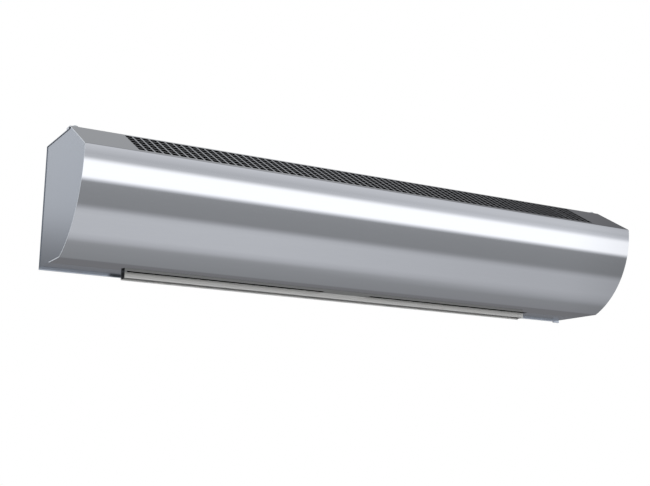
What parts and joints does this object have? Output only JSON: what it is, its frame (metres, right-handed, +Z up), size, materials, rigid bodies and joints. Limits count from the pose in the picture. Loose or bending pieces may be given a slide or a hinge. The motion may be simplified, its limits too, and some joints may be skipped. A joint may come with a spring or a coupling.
{
  "type": "air curtain",
  "caption": "Wall-mounted air curtain: curved stainless front, perforated sloping intake, two cross-flow fans and a slim downward outlet nozzle.",
  "frame": {"origin": "centre of the wall face, at half the length and half the height of the casing", "axes": "+X along the casing to the right as seen from the room, +Y into the wall, +Z up"},
  "size_m": [1.0836, 0.207, 0.217],
  "materials": {
    "painted_steel": "fine satin grey powder coat",
    "brushed_stainless": "fine brushed, grain along the length",
    "anodised_aluminium": "natural anodised, satin",
    "cast_aluminium": "die cast, matt",
    "zinc_plated_steel": "bright zinc plate",
    "machined_steel": "turned and ground",
    "black_plastic": "moulded, fine texture",
    "black_rubber": "moulded, matt",
    "lead_sheath": "silicone sheath",
    "sintered_bronze": "sintered or plated",
    "copper_winding": "enamelled copper wire",
    "white_ceramic": "unglazed steatite",
    "circuit_board": "solder mask",
    "blue_plastic": "moulded",
    "white_plastic": "moulded, semi gloss",
    "red_plastic": "moulded, semi gloss"
  },
  "bodies": {
    "casing": {"back_panel": "painted_steel", "left_end_plate": "painted_steel", "right_end_plate": "painted_steel", "front_panel": "brushed_stainless", "intake_panel": "brushed_stainless", "nozzle_front_profile": "anodised_aluminium", "nozzle_rear_profile": "anodised_aluminium", "left_motor_cap": "cast_aluminium", "right_motor_cap": "cast_aluminium", "run_capacitor": "cast_aluminium", "left_bulkhead": "zinc_plated_steel", "right_bulkhead": "zinc_plated_steel", "left_rear_air_guide": "zinc_plated_steel", "right_rear_air_guide": "zinc_plated_steel", "left_front_air_guide": "zinc_plated_steel", "right_front_air_guide": "zinc_plated_steel", "motor_bracket": "zinc_plated_steel", "motor_can": "zinc_plated_steel", "capacitor_clip": "zinc_plated_steel", "bracket_screws": "zinc_plated_steel", "nozzle_screws": "zinc_plated_steel", "casing_screws": "zinc_plated_steel", "cover_screws": "zinc_plated_steel", "motor_stator": "machined_steel", "front_heater": "machined_steel", "rear_heater": "machined_steel", "left_nozzle_end": "black_plastic", "right_nozzle_end": "black_plastic", "thermal_cutout": "black_plastic", "switch_housing": "black_plastic", "board_spacers": "black_plastic", "left_bearing_rubber": "black_rubber", "right_bearing_rubber": "black_rubber", "motor_rubber_rings": "black_rubber", "cable_grommet": "black_rubber", "motor_lead": "lead_sheath", "heater_leads": "lead_sheath", "switch_lead": "lead_sheath", "left_bearing": "sintered_bronze", "right_bearing": "sintered_bronze", "terminal_screws": "sintered_bronze", "switch_terminals": "sintered_bronze", "earth_stud": "sintered_bronze", "motor_windings": "copper_winding", "heater_insulators": "white_ceramic", "terminal_block": "white_ceramic", "relay_board": "circuit_board", "relays": "blue_plastic"},
    "fans": {"left_fan_rotor": "black_plastic", "right_fan_rotor": "black_plastic", "motor_shaft": "machined_steel", "left_coupling": "black_rubber", "right_coupling": "black_rubber", "left_stub_shaft": "machined_steel", "right_stub_shaft": "machined_steel", "motor_armature": "machined_steel"},
    "vane": {"air_vane": "anodised_aluminium"},
    "fan_switch": {"fan_key": "white_plastic"},
    "low_heat_switch": {"low_heat_key": "red_plastic"},
    "high_heat_switch": {"high_heat_key": "red_plastic"}
  },
  "joints": [
    {"name": "fan_spin", "type": "hinge", "parent": "casing", "child": "fans", "pos_m": [0, -0.072, 0.03], "axis": [1, 0, 0], "continuous": true},
    {"name": "vane_tilt", "type": "hinge", "parent": "casing", "child": "vane", "pos_m": [0, -0.033, -0.088], "axis": [1, 0, 0], "range_deg": [-15, 15]},
    {"name": "fan_rocker", "type": "hinge", "parent": "casing", "child": "fan_switch", "pos_m": [0.5355, -0.0847, -0.03], "axis": [0, -1, 0], "range_deg": [0, 14]},
    {"name": "low_heat_rocker", "type": "hinge", "parent": "casing", "child": "low_heat_switch", "pos_m": [0.5355, -0.07, -0.03], "axis": [0, -1, 0], "range_deg": [0, 14]},
    {"name": "high_heat_rocker", "type": "hinge", "parent": "casing", "child": "high_heat_switch", "pos_m": [0.5355, -0.0553, -0.03], "axis": [0, -1, 0], "range_deg": [0, 14]}
  ]
}
